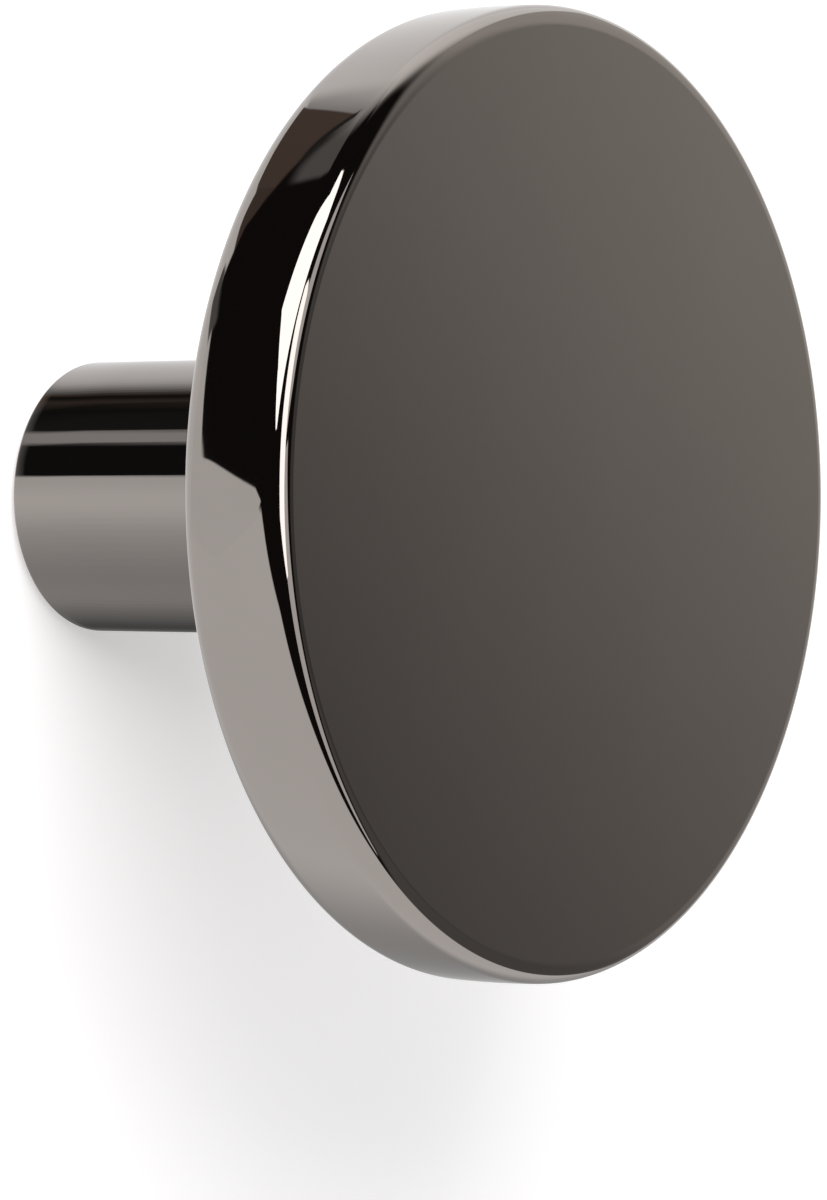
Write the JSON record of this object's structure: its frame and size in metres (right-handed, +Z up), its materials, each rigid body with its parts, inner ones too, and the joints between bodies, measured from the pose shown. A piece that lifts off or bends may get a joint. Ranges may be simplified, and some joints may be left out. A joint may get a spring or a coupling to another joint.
{
  "type": "cabinet knob",
  "caption": "Cabinet knob in polished black nickel: a flat round disc head with a slightly crowned rim on a plain straight stem, tapped at the back for a machine screw.",
  "frame": {"origin": "centre of the stem's back face, on the axis of the screw hole, where the knob meets the door or drawer front", "axes": "+Y points back into the panel along the screw hole's axis, so the head's face looks along -Y; +Z is up"},
  "size_m": [0.038, 0.0238, 0.038],
  "materials": {
    "black_nickel": "polished black nickel plating, dark and mirror bright"
  },
  "bodies": {
    "root": {"knob": "black_nickel"}
  },
  "joints": []
}
